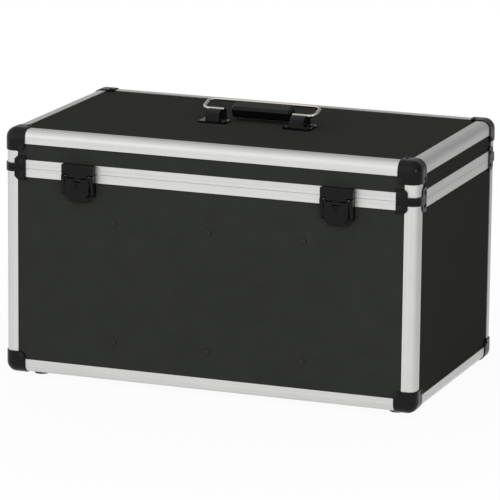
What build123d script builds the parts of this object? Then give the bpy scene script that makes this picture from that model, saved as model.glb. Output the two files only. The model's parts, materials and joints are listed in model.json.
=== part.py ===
from build123d import *
from math import asin, atan2, degrees, hypot
import os

os.makedirs("parts", exist_ok=True)

# Driving dimensions, in millimetres. The origin is on the floor under the middle of the case,
# +X runs to the right of the front, the front faces -Y and +Z is up.

# Case over its aluminium
case_width = 530.0
case_depth = 303.0
body_height = 256.7  # lowest aluminium to the lid joint
lid_height = 47.3  # lid joint to the top
foot_height = 8.0

# Boards and edge extrusion
panel_thickness = 6.0
wall = 1.5  # wall of every extrusion, and how far the boards lie below its face
edge_leg = 17.0
edge_radius = 10.0
slot_floor = 9.5  # outer face to the end of the slot that takes a board
inner_leg = 15.0
chamber_low = 4.2  # outer face to the near side of the hollow chamber
board_gap = 0.3

# Rims that meet at the lid joint
rim_height = 10.6
rim_web = 4.0
split_gap = 0.3
tongue_start = 3.7
tongue_end = 5.5
tongue_depth = 2.1
groove_side_gap = 0.7
groove_end_gap = 0.5

# Ball corners
cap_overhang = 9.4  # plate past the edge extrusion
cap_proud = 1.7
cap_outer_radius = 13.0
cap_plate_radius = 8.0
cap_lip_radius = 1.0
cap_rivet_past_edge = 5.0
seat_gap = 0.1

# Split corners at the lid joint
split_plate_overlap = 4.0  # on the post
split_plate_overhang = 10.5  # past the post
split_plate_proud = 1.5
split_band_body = 4.7
split_band_lid = 5.7
split_plate_body = 14.2
split_plate_lid = 15.3
split_plate_chamfer = 4.0
split_rivet_past_edge = 6.0
split_rivet_body = 7.6
split_rivet_lid = 8.4

# Rivets and screws
rivet_shank = 1.6
rivet_head = 3.2
rivet_head_height = 1.2
screw_shank = 1.75
screw_head = 3.1
screw_head_height = 1.6
screw_head_round = 0.9
recess_length = 3.4
recess_width = 0.8
recess_depth = 0.9
hole_clearance = 0.05
drill_depth = 20.0

# Dividers
divider_pitch = 122.0
divider_thickness = 6.0
divider_top_drop = 20.7  # below the lid joint
divider_screw_low = 50.0  # above the lowest aluminium
divider_screw_drop = 59.3  # below the lid joint
divider_screw_length = 28.0
screw_tip_gap = 0.5
lip_gap = 0.5

# Foam pads
floor_pad_thickness = 6.0
lid_pad_thickness = 8.0
pad_gap = 0.3
pad_edge_gap = 0.5
pad_round = 1.5

# Feet
foot_radius = 10.0
foot_end_gap = 6.6  # edge of the ball corner's plate to the middle of the foot, along the case
foot_side_gap = 10.6  # the same across it
foot_round = 1.5
foot_recess_radius = 5.0
foot_recess_depth = 4.0

# Latches. "Out" is measured from the aluminium face, "drop" and "rise" from the lid joint.
latch_x = 166.0
latch_face = 9.6
latch_drop = 35.7
latch_shoulder = 25.0
latch_foot_width = 23.0
latch_corner_radius = 4.0
latch_plate = 2.3
latch_top_gap = 0.5
latch_rivet_x = 7.0
latch_rivet_margin = 5.7
running_gap = 0.08
side_gap = 0.4
cheek_width = 4.5
cheek_gap = 0.8
cheek_foot = 27.5
cheek_foot_out = 5.5
lever_width = 31.0
lever_thickness = 2.6
lever_shoulder = 23.5
lever_bottom = 30.3
lever_foot_width = 20.0
lever_edge_round = 0.8
lever_pivot_drop = 2.6
lever_pin_radius = 1.1
pin_inset = 0.2
ear_radius = 2.0
ear_width = 2.4
hook_pin_radius = 1.1
knuckle_radius = 2.2
knuckle_gap = 0.8
hook_knuckle_width = 9.0
hook_neck = 2.2
hook_bottom = 4.4  # below the lid joint
hook_waist = 0.1
hook_top = 11.8
hook_back_gap = 0.8
hook_front_wall = 2.8
hook_floor = 1.6
hook_lip = 2.2
hook_edge_round = 1.2
hook_corner = 1.8
catch_side_inset = 0.5
catch_plate = 1.8
catch_base = 0.6
catch_rise = 10.2
catch_ledge_width = 8.0
catch_ledge_gap = 1.2
catch_ledge_height = 3.0
catch_clearance = 0.3
catch_rivet_gap = 0.4
catch_rivet_side_gap = 0.2
catch_rivet_rise = 6.6
lock_drop = 14.4
lock_radius = 3.3
lock_sink = 0.6
cam_thickness = 1.1
cam_length = 6.8
cam_width = 3.6
key_slot_length = 4.0
key_slot_width = 1.0
key_slot_depth = 2.0
keeper_start = 4.2
keeper_tip_gap = 0.6
keeper_post = 2.0
keeper_thickness = 1.2
keeper_gap = 0.3
keeper_lever_gap = 0.4
keeper_height = 3.6

# Hinges at the back
hinge_x = 160.0
hinge_width = 50.0
hinge_leaf = 1.6
hinge_edge_gap = 0.3
hinge_knuckle_radius = 3.7
hinge_pin_radius = 2.0
hinge_knuckles = 5
hinge_turn_gap = 0.6
hinge_rivet_x = 16.0
hinge_rivet_margin = 11.0

# Handle on the lid. Heights are above the lid board.
handle_x = 6.0
bracket_inner = 37.0
bracket_outer = 72.5
bracket_front = 15.0
bracket_back = 17.0
bracket_step_x = 45.5
bracket_step_y = 6.0
bracket_foot = 2.5
bracket_corner = 3.0
bracket_screw_inner = (41.5, -8.5)
bracket_screw_outer = (68.4, 8.0)
hump_edge = 0.5
hump_outer = 64.0
hump_front_foot = 13.0
hump_front_top = 11.5
hump_front_height = 12.2
hump_crown_front = 5.0
hump_crown_back = 9.5
hump_crown_height = 16.1
hump_back_top = 14.0
hump_back_height = 12.2
hump_back_foot = 16.0
hump_round = 1.0
pivot_y = 3.0
pivot_drop = 0.8  # below the crown
wire_radius = 2.1
bail_half_width = 73.0
bail_bend_gap = 0.5  # outer face of a hump to the start of the wire's bend
bail_depth = 26.0
bail_leg_overlap = 1.0  # legs past the inner faces of the humps
grip_end_gap = 7.5
grip_start = 5.0  # near edge, out from the pivots
grip_rim = 2.6  # far edge past the middle of the wire
grip_thickness = 15.0
grip_above_wire = 0.8  # top face over the middle of the wire
grip_corner = 4.5
grip_floor_gap = 4.3  # over the lid board when folded back
grip_round = 2.5

# Angles, in degrees
sharp_angle = 20.0
same_way = 1.0

# Places that follow from the driving dimensions

half_width = case_width / 2
half_depth = case_depth / 2
front_y = -half_depth
base_z = foot_height
split_z = base_z + body_height
top_z = split_z + lid_height
middle_height = Plane.XY.offset((base_z + top_z) / 2)
board_inner = wall + panel_thickness
inner_face = board_inner + wall
board_reach = slot_floor + board_gap
floor_z = base_z + board_inner
ceiling_z = top_z - board_inner
lid_board_top = top_z - wall
lip_clear = inner_leg + lip_gap
chamber_high = slot_floor - wall
cap_reach = edge_leg + cap_overhang
split_plate_start = edge_leg - split_plate_overlap
split_plate_end = edge_leg + split_plate_overhang
latch_width = lever_width + 2 * (cheek_gap + cheek_width)
catch_rivet_x = catch_ledge_width / 2 + rivet_head + catch_rivet_gap
corner_signs = [(side, end) for side in (-1, 1) for end in (-1, 1)]


def block(x, y, z, mode=Mode.ADD):
    """A box between a low and a high end along each axis."""
    with Locations((sum(x) / 2, sum(y) / 2, sum(z) / 2)):
        Box(x[1] - x[0], y[1] - y[0], z[1] - z[0], mode=mode)


def across(half):
    """The span from minus to plus a half width."""
    return (-half, half)


def span(side, low, high):
    """The span between two distances from the middle, on one side of it."""
    return tuple(sorted((side * low, side * high)))


def outward(point, direction):
    """A plane at a point of a face, its Z axis pointing out of that face."""
    return Plane(origin=point, z_dir=direction)


def section_plane(origin, right, up):
    """A plane whose X and Y axes point along right and up."""
    return Plane(origin=origin, x_dir=right, z_dir=Vector(*right).cross(Vector(*up)))


def facing(planes, direction):
    """Those of the planes that point one way."""
    return [plane for plane in planes if plane.z_dir.get_angle(Vector(*direction)) < same_way]


def drill(planes, radius, depth=drill_depth):
    """Holes for the fasteners that stand on the planes."""
    with Locations(*planes):
        Hole(radius + hole_clearance, depth)


def write(part, name):
    """Labels and writes a sub-part that a loop makes."""
    part.label = name
    export_step(part, f"parts/{name}.step")


def sharp_edges(part):
    """The edges where two faces of a solid meet at a clear angle."""
    faces = part.faces()
    found = []
    for edge in part.edges():
        middle = edge @ 0.5
        beside = [face for face in faces if any(edge.is_same(other) for other in face.edges())]
        normals = [face.normal_at(middle) for face in beside]
        if len(normals) == 2 and normals[0].get_angle(normals[1]) > sharp_angle:
            found.append(edge)
    return found


# Fasteners: the head stands on the plane and the shank goes below it

def rivet(length):
    """A domed rivet."""
    sphere_radius = (rivet_head ** 2 + rivet_head_height ** 2) / (2 * rivet_head_height)
    with BuildPart() as body:
        with BuildSketch(Plane.XZ):
            with BuildLine():
                Polyline((0, rivet_head_height), (0, -length), (rivet_shank, -length),
                         (rivet_shank, 0), (rivet_head, 0))
                RadiusArc((0, rivet_head_height), (rivet_head, 0), sphere_radius)
            make_face()
        revolve(axis=Axis.Z)
    return body.part


def screw(length):
    """A pan-head screw with a cross recess."""
    with BuildPart() as body:
        with BuildSketch():
            Circle(screw_head)
        extrude(amount=screw_head_height)
        fillet(body.faces().sort_by(Axis.Z)[-1].edges(), screw_head_round)
        with BuildSketch():
            Circle(screw_shank)
        extrude(amount=-length)
        with BuildSketch(Plane.XY.offset(screw_head_height)):
            Rectangle(recess_length, recess_width)
            Rectangle(recess_width, recess_length)
        extrude(amount=-recess_depth, mode=Mode.SUBTRACT)
    return body.part


def cap_rivet_planes(end_z, up):
    """Rivets of four ball corners, one on each of the three faces that a corner covers."""
    inset = edge_leg + cap_rivet_past_edge
    x, y = half_width - inset, half_depth - inset
    z = end_z - up * inset
    planes = []
    for side, end in corner_signs:
        planes.append(outward((side * x, end * (half_depth + cap_proud), z), (0, end, 0)))
        planes.append(outward((side * (half_width + cap_proud), end * y, z), (side, 0, 0)))
        planes.append(outward((side * x, end * y, end_z + up * cap_proud), (0, 0, up)))
    return planes


def split_rivet_planes(z):
    """Rivets of four split corners, one on either side of each post."""
    inset = edge_leg + split_rivet_past_edge
    x, y = half_width - inset, half_depth - inset
    planes = []
    for side, end in corner_signs:
        planes.append(outward((side * x, end * (half_depth + split_plate_proud), z), (0, end, 0)))
        planes.append(outward((side * (half_width + split_plate_proud), end * y, z), (side, 0, 0)))
    return planes


def row_planes(centre, offset, y, z, end):
    """A pair of rivets either side of a latch or a hinge, on the left and on the right."""
    places = [side * centre + shift for side in (-1, 1) for shift in (-offset, offset)]
    return [outward((x, y, z), (0, end, 0)) for x in places]


body_cap_rivets = cap_rivet_planes(base_z, -1)
lid_cap_rivets = cap_rivet_planes(top_z, 1)
body_split_rivets = split_rivet_planes(split_z - split_rivet_body)
lid_split_rivets = split_rivet_planes(split_z + split_rivet_lid)
body_rivets = body_cap_rivets + body_split_rivets
lid_rivets = lid_cap_rivets + lid_split_rivets
hinge_leaf_height = lid_height - edge_leg - hinge_edge_gap
hinge_rivet_rise = hinge_leaf_height - hinge_rivet_margin
leaf_face = half_depth + hinge_leaf
hinge_body_rivets = row_planes(hinge_x, hinge_rivet_x, leaf_face, split_z - hinge_rivet_rise, 1)
hinge_lid_rivets = row_planes(hinge_x, hinge_rivet_x, leaf_face, split_z + hinge_rivet_rise, 1)
latch_rivet_z = split_z - latch_drop + latch_rivet_margin
latch_rivets = row_planes(latch_x, latch_rivet_x, front_y - latch_plate, latch_rivet_z, -1)
catch_rivets = row_planes(latch_x, catch_rivet_x, front_y - catch_plate, split_z + catch_rivet_rise, -1)

divider_places = [-divider_pitch, 0.0, divider_pitch]
divider_screw_levels = (base_z + divider_screw_low, split_z - divider_screw_drop)
divider_screws = [outward((x, end * (half_depth - wall), z), (0, end, 0))
                  for x in divider_places for end in (-1, 1) for z in divider_screw_levels]
foot_x = half_width - cap_reach - foot_end_gap
foot_y = half_depth - cap_reach - foot_side_gap
foot_screws = [outward((side * foot_x, end * foot_y, foot_recess_depth), (0, 0, -1))
               for side, end in corner_signs]
bracket_screws = [outward((handle_x + side * x, y, lid_board_top + bracket_foot), (0, 0, 1))
                  for side in (-1, 1) for x, y in (bracket_screw_inner, bracket_screw_outer)]

with BuildPart() as body_corner_rivets:
    with Locations(*body_cap_rivets):
        add(rivet(cap_proud + board_inner))
    with Locations(*body_split_rivets):
        add(rivet(split_plate_proud + inner_face))
body_corner_rivets.part.label = "body_corner_rivets"
export_step(body_corner_rivets.part, "parts/body_corner_rivets.step")

with BuildPart() as lid_corner_rivets:
    with Locations(*lid_cap_rivets):
        add(rivet(cap_proud + board_inner))
    with Locations(*lid_split_rivets):
        add(rivet(split_plate_proud + inner_face))
lid_corner_rivets.part.label = "lid_corner_rivets"
export_step(lid_corner_rivets.part, "parts/lid_corner_rivets.step")

for name, planes, thickness in (("hinge_body_rivets", hinge_body_rivets, hinge_leaf),
                                ("hinge_lid_rivets", hinge_lid_rivets, hinge_leaf),
                                ("latch_base_rivets", latch_rivets, latch_plate),
                                ("latch_catch_rivets", catch_rivets, catch_plate)):
    with BuildPart() as row_rivets:
        with Locations(*planes):
            add(rivet(thickness + board_inner))
    write(row_rivets.part, name)

for name, planes, length in (("divider_screws", divider_screws, divider_screw_length),
                             ("foot_screws", foot_screws, floor_z - foot_recess_depth),
                             ("handle_screws", bracket_screws, bracket_foot + panel_thickness)):
    with BuildPart() as screws:
        with Locations(*planes):
            add(screw(length))
    write(screws.part, name)


# Boards, held in the slots of the extrusions

body_wall_z = (base_z + board_reach, split_z - rim_web - board_gap)
lid_wall_z = (split_z + rim_web + board_gap, top_z - board_reach)
board_x = across(half_width - board_reach)
board_y = across(half_depth - board_reach)

with BuildPart() as front_panel:
    block(board_x, span(-1, half_depth - board_inner, half_depth - wall), body_wall_z)
    drill(facing(body_rivets + latch_rivets, (0, -1, 0)), rivet_shank)
    drill(facing(divider_screws, (0, -1, 0)), screw_shank)
front_panel.part.label = "front_panel"
export_step(front_panel.part, "parts/front_panel.step")

with BuildPart() as back_panel:
    block(board_x, span(1, half_depth - board_inner, half_depth - wall), body_wall_z)
    drill(facing(body_rivets + hinge_body_rivets, (0, 1, 0)), rivet_shank)
    drill(facing(divider_screws, (0, 1, 0)), screw_shank)
back_panel.part.label = "back_panel"
export_step(back_panel.part, "parts/back_panel.step")

for name, side in (("left_panel", -1), ("right_panel", 1)):
    with BuildPart() as side_panel:
        block(span(side, half_width - board_inner, half_width - wall), board_y, body_wall_z)
        drill(facing(body_rivets, (side, 0, 0)), rivet_shank)
    write(side_panel.part, name)

with BuildPart() as bottom_panel:
    block(board_x, board_y, (base_z + wall, floor_z))
    drill(facing(body_rivets, (0, 0, -1)), rivet_shank)
    drill(foot_screws, screw_shank)
bottom_panel.part.label = "bottom_panel"
export_step(bottom_panel.part, "parts/bottom_panel.step")

with BuildPart() as lid_panel:
    block(board_x, board_y, (ceiling_z, lid_board_top))
    drill(facing(lid_rivets, (0, 0, 1)), rivet_shank)
    drill(bracket_screws, screw_shank)
lid_panel.part.label = "lid_panel"
export_step(lid_panel.part, "parts/lid_panel.step")

for name, end in (("lid_front_strip", -1), ("lid_back_strip", 1)):
    with BuildPart() as long_strip:
        block(board_x, span(end, half_depth - board_inner, half_depth - wall), lid_wall_z)
        drill(facing(lid_rivets + catch_rivets + hinge_lid_rivets, (0, end, 0)), rivet_shank)
    write(long_strip.part, name)

for name, side in (("lid_left_strip", -1), ("lid_right_strip", 1)):
    with BuildPart() as short_strip:
        block(span(side, half_width - board_inner, half_width - wall), board_y, lid_wall_z)
        drill(facing(lid_rivets, (side, 0, 0)), rivet_shank)
    write(short_strip.part, name)


# Edge extrusion: a rounded outer corner, a chamber, and a slot for a board on each side

def edge_bar(plane, length):
    """One length, centred on the plane, with its outer corner at the plane's origin."""
    chamber = chamber_high - chamber_low
    chamber_middle = (chamber_low + chamber_high) / 2
    with BuildPart() as bar:
        with BuildSketch(plane):
            with BuildLine():
                Polyline((edge_radius, 0), (edge_leg, 0), (edge_leg, wall), (slot_floor, wall),
                         (slot_floor, board_inner), (inner_leg, board_inner), (inner_leg, inner_face),
                         (inner_face, inner_face), (inner_face, inner_leg), (board_inner, inner_leg),
                         (board_inner, slot_floor), (wall, slot_floor), (wall, edge_leg), (0, edge_leg),
                         (0, edge_radius))
                RadiusArc((0, edge_radius), (edge_radius, 0), -edge_radius)
            make_face()
            with Locations((chamber_middle, chamber_middle)):
                Rectangle(chamber, chamber, mode=Mode.SUBTRACT)
        extrude(amount=length / 2, both=True)
    return bar.part


long_length = case_width - 2 * edge_leg
short_length = case_depth - 2 * edge_leg
long_edge = edge_bar(section_plane((0, front_y, base_z), (0, 1, 0), (0, 0, 1)), long_length)
short_edge = edge_bar(section_plane((-half_width, 0, base_z), (1, 0, 0), (0, 0, 1)), short_length)

with BuildPart() as bottom_edges:
    add(long_edge)
    mirror(long_edge, about=Plane.XZ)
    add(short_edge)
    mirror(short_edge, about=Plane.YZ)
bottom_edges.part.label = "bottom_edges"
export_step(bottom_edges.part, "parts/bottom_edges.step")

with BuildPart() as lid_top_edges:
    mirror(bottom_edges.part, about=middle_height)
lid_top_edges.part.label = "lid_top_edges"
export_step(lid_top_edges.part, "parts/lid_top_edges.step")

for name, low, high in (("corner_posts", base_z + edge_leg, split_z - split_gap / 2),
                        ("lid_posts", split_z + split_gap / 2, top_z - edge_leg)):
    middle = (-half_width, front_y, (low + high) / 2)
    post = edge_bar(section_plane(middle, (1, 0, 0), (0, 1, 0)), high - low)
    with BuildPart() as posts:
        add(post)
        mirror(post, about=Plane.XZ)
        mirror(posts.part, about=Plane.YZ)
    write(posts.part, name)


# Rims: each caps the edge of a board, with a groove on the body and a tongue on the lid

def rim_bar(plane, length, grooved):
    """One length, centred on the plane: X goes in from the outer face and Y away from the lid joint."""
    face = split_gap / 2
    groove_start, groove_end = tongue_start - groove_side_gap, tongue_end + groove_side_gap
    groove_depth = tongue_depth + groove_end_gap
    with BuildPart() as bar:
        with BuildSketch(plane):
            with BuildLine():
                Polyline((0, face), (inner_face, face), (inner_face, rim_height), (board_inner, rim_height),
                         (board_inner, rim_web), (wall, rim_web), (wall, rim_height), (0, rim_height),
                         close=True)
            make_face()
            if grooved:
                with Locations(((groove_start + groove_end) / 2, groove_depth / 2)):
                    Rectangle(groove_end - groove_start, groove_depth, mode=Mode.SUBTRACT)
            else:
                with Locations(((tongue_start + tongue_end) / 2, -tongue_depth / 2 + face)):
                    Rectangle(tongue_end - tongue_start, tongue_depth + 2 * face)
        extrude(amount=length / 2, both=True)
    return bar.part


for name, up, grooved, planes in (("body_rim", -1, True, body_split_rivets),
                                  ("lid_rim", 1, False, lid_split_rivets + catch_rivets)):
    front_section = section_plane((0, front_y, split_z), (0, 1, 0), (0, 0, up))
    left_section = section_plane((-half_width, 0, split_z), (1, 0, 0), (0, 0, up))
    long_rim = rim_bar(front_section, long_length, grooved)
    short_rim = rim_bar(left_section, short_length, grooved)
    with BuildPart() as rim:
        add(long_rim)
        mirror(long_rim, about=Plane.XZ)
        add(short_rim)
        mirror(short_rim, about=Plane.YZ)
        drill(planes, rivet_shank)
    write(rim.part, name)


# Ball corners: a moulded shell round the corner, with a plate that fills down to each board

def cap_core():
    """The room that a ball corner leaves for the extrusions and the boards."""
    far = cap_reach + edge_leg
    recess = (edge_leg + seat_gap, far)
    depth = (-seat_gap, wall - seat_gap)
    full = (-seat_gap, far)
    with BuildPart() as core:
        block(full, full, full)
        fillet(sorted(core.edges(), key=lambda edge: sum(edge.center()))[:3], edge_radius + seat_gap)
        block(recess, recess, depth, mode=Mode.SUBTRACT)
        block(recess, depth, recess, mode=Mode.SUBTRACT)
        block(depth, recess, recess, mode=Mode.SUBTRACT)
    return core.part


def ball_corner():
    """A ball corner with the case's corner at the origin and the case on the plus side of every axis."""
    reach = (-cap_proud, cap_reach)
    with BuildPart() as cap:
        block(reach, reach, reach)
        fillet(sorted(cap.edges(), key=lambda edge: sum(edge.center()))[:3], cap_outer_radius)
        fillet(sorted(cap.edges(), key=lambda edge: sum(edge.center()))[-3:], cap_plate_radius)
        fillet(sharp_edges(cap.part), cap_lip_radius)
        add(cap_core(), mode=Mode.SUBTRACT)
    return cap.part


left_front_corner = ball_corner().moved(Location((-half_width, front_y, base_z)))

with BuildPart() as bottom_corners:
    add(left_front_corner)
    mirror(left_front_corner, about=Plane.XZ)
    mirror(bottom_corners.part, about=Plane.YZ)
    drill(body_cap_rivets, rivet_shank)
bottom_corners.part.label = "bottom_corners"

with BuildPart() as lid_corners:
    mirror(bottom_corners.part, about=middle_height)
lid_corners.part.label = "lid_corners"
export_step(bottom_corners.part, "parts/bottom_corners.step")
export_step(lid_corners.part, "parts/lid_corners.step")


# Split corners: a band round the post with a plate on either side, one half on the body and one on the lid

def column(low, high, z, radius):
    """An upright block with its front left edge rounded."""
    with BuildPart() as shape:
        block((low, high), (low, high), z)
        fillet(shape.edges().filter_by(Axis.Z).sort_by(Axis.X)[:2].sort_by(Axis.Y)[:1], radius)
    return shape.part


def split_plate(plate_height):
    """The plate of a split corner on the front face, filled down to the board past the rim."""
    face = split_gap / 2
    with BuildPart() as plate:
        with BuildSketch(Plane.XZ.offset(seat_gap)):
            with BuildLine():
                Polyline((split_plate_start, face), (split_plate_end, face),
                         (split_plate_end, plate_height),
                         (split_plate_start + split_plate_chamfer, plate_height),
                         (split_plate_start, plate_height - split_plate_chamfer), close=True)
            make_face()
        extrude(amount=split_plate_proud - seat_gap)
        block((edge_leg + seat_gap, split_plate_end), (-split_plate_proud, wall - seat_gap),
              (rim_height + seat_gap, plate_height))
    return plate.part


def split_corner(plate_height, band_height):
    """Half a split corner: the post's corner at the origin, the lid joint at Z 0 and the half above it."""
    band = (split_gap / 2, band_height)
    outside = column(-split_plate_proud, split_plate_end, band, edge_radius + split_plate_proud)
    inside = column(-seat_gap, cap_reach + edge_leg, (0, plate_height), edge_radius + seat_gap)
    plate = split_plate(plate_height)
    with BuildPart() as half:
        add(outside)
        add(inside, mode=Mode.SUBTRACT)
        add(plate)
        mirror(plate, about=Plane(origin=(0, 0, 0), z_dir=(1, -1, 0)))
    return half.part


body_half = split_corner(split_plate_body, split_band_body).mirror(Plane.XY)
lid_half = split_corner(split_plate_lid, split_band_lid)

for name, half, planes in (("body_split_corners", body_half, body_split_rivets),
                           ("lid_split_corners", lid_half, lid_split_rivets)):
    placed = half.moved(Location((-half_width, front_y, split_z)))
    with BuildPart() as split_corners:
        add(placed)
        mirror(placed, about=Plane.XZ)
        mirror(split_corners.part, about=Plane.YZ)
        drill(planes, rivet_shank)
    write(split_corners.part, name)


# Dividers, screwed on from both faces, notched over the inner lips of the bottom edges

for name, x in zip(("divider_left", "divider_middle", "divider_right"), divider_places):
    own_screws = [plane for plane in divider_screws if abs(plane.origin.X - x) < divider_thickness]
    thickness = (x - divider_thickness / 2, x + divider_thickness / 2)
    with BuildPart() as divider:
        block(thickness, across(half_depth - board_inner), (floor_z, split_z - divider_top_drop))
        for end in (-1, 1):
            block(thickness, span(end, half_depth - lip_clear, half_depth), (base_z, base_z + lip_clear),
                  mode=Mode.SUBTRACT)
        drill(own_screws, screw_shank, divider_screw_length + screw_tip_gap)
    write(divider.part, name)


# Foam pads between the dividers and under the lid board

pad_stops = [-half_width + lip_clear, *divider_places, half_width - lip_clear]
pad_names = ("floor_pad_far_left", "floor_pad_left", "floor_pad_right", "floor_pad_far_right")
pad_y = across(half_depth - lip_clear)

for name, left, right in zip(pad_names, pad_stops[:-1], pad_stops[1:]):
    start = left + (divider_thickness / 2 + pad_edge_gap) * (left in divider_places)
    stop = right - (divider_thickness / 2 + pad_edge_gap) * (right in divider_places)
    with BuildPart() as floor_pad:
        block((start, stop), pad_y, (floor_z + pad_gap, floor_z + pad_gap + floor_pad_thickness))
        fillet(floor_pad.edges(), pad_round)
    write(floor_pad.part, name)

with BuildPart() as lid_pad:
    pad_top = ceiling_z - pad_gap
    block(across(half_width - lip_clear), pad_y, (pad_top - lid_pad_thickness, pad_top))
    fillet(lid_pad.edges(), pad_round)
lid_pad.part.label = "lid_pad"
export_step(lid_pad.part, "parts/lid_pad.step")


# Feet, each with a recess for its screw

with BuildPart() as feet:
    with Locations(*[(plane.origin.X, plane.origin.Y, 0) for plane in foot_screws]):
        Cylinder(foot_radius, base_z + wall, align=(Align.CENTER, Align.CENTER, Align.MIN))
    fillet(feet.faces().group_by(Axis.Z)[0].edges(), foot_round)
    drill(foot_screws, screw_shank)
    with Locations(*foot_screws):
        Cylinder(foot_recess_radius, foot_recess_depth, align=(Align.CENTER, Align.CENTER, Align.MIN),
                 mode=Mode.SUBTRACT)
feet.part.label = "feet"
export_step(feet.part, "parts/feet.step")


# Latches. Sections are drawn in a plane whose X axis points out of the front and whose Y axis points up,
# with the lid joint at 0. Outlines are drawn a way out of the aluminium face, with the lid joint at 0.

lever_half = lever_width / 2
knuckle_half = hook_knuckle_width / 2
ear_inner = lever_half - ear_width
hook_narrow_half = ear_inner - side_gap
hook_cavity_half = catch_rivet_x + rivet_head + catch_rivet_side_gap
lever_pivot_out = latch_face - ear_radius
lever_pivot = (lever_pivot_out, -lever_pivot_drop)
hook_pivot_out = latch_face - knuckle_radius
hook_pivot_drop = hook_bottom + knuckle_gap + knuckle_radius
hook_pivot = (hook_pivot_out, -hook_pivot_drop)
hook_back = catch_plate + hook_back_gap
cavity_out = latch_face - hook_front_wall
lever_inner_face = latch_face - lever_thickness
keeper_top = lever_inner_face - keeper_lever_gap
keeper_low = keeper_top - keeper_thickness
cam_top = keeper_low - keeper_gap
cam_low = cam_top - cam_thickness


def latch_section(x):
    """The plane for a section of a latch."""
    return section_plane((x, front_y, split_z), (0, -1, 0), (0, 0, 1))


def latch_outline(x, out, drop=0.0):
    """The plane for an outline of a latch, some way out of the aluminium face and below the lid joint."""
    return Plane(origin=(x, front_y - out, split_z - drop), x_dir=(1, 0, 0), z_dir=(0, -1, 0))


def latch_block(x, out, up, mode=Mode.ADD):
    """A box on the front, its height measured from the lid joint."""
    block(x, (front_y - out[1], front_y - out[0]), (split_z + up[0], split_z + up[1]), mode)


def rod(x, y, z, radius, mode=Mode.ADD):
    """A round bar along X between two ends."""
    with Locations(Location((sum(x) / 2, y, z), (0, 90, 0))):
        Cylinder(radius, x[1] - x[0], mode=mode)


def latch_rod(x, centre, radius, mode=Mode.ADD):
    """A round bar along X on the front, centred on a point of a latch's section."""
    rod(x, front_y - centre[0], split_z + centre[1], radius, mode)


def spread(x, half):
    """The span that reaches as far to the left of a place as to the right."""
    return (x - half, x + half)


def either_side(x, near, far):
    """The two spans between two distances from a place, on its left and on its right."""
    return ((x - far, x - near), (x + near, x + far))


def shield(plane, top, shoulder, bottom, width, foot_width):
    """An outline that is square at the top and tapers below its shoulder."""
    with BuildSketch(plane) as outline:
        with BuildLine():
            Polyline((-width / 2, top), (width / 2, top), (width / 2, -shoulder), (foot_width / 2, -bottom),
                     (-foot_width / 2, -bottom), (-width / 2, -shoulder), close=True)
        make_face()
        fillet(outline.vertices().group_by(Axis.Z)[0], latch_corner_radius)
    return outline.sketch


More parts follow.
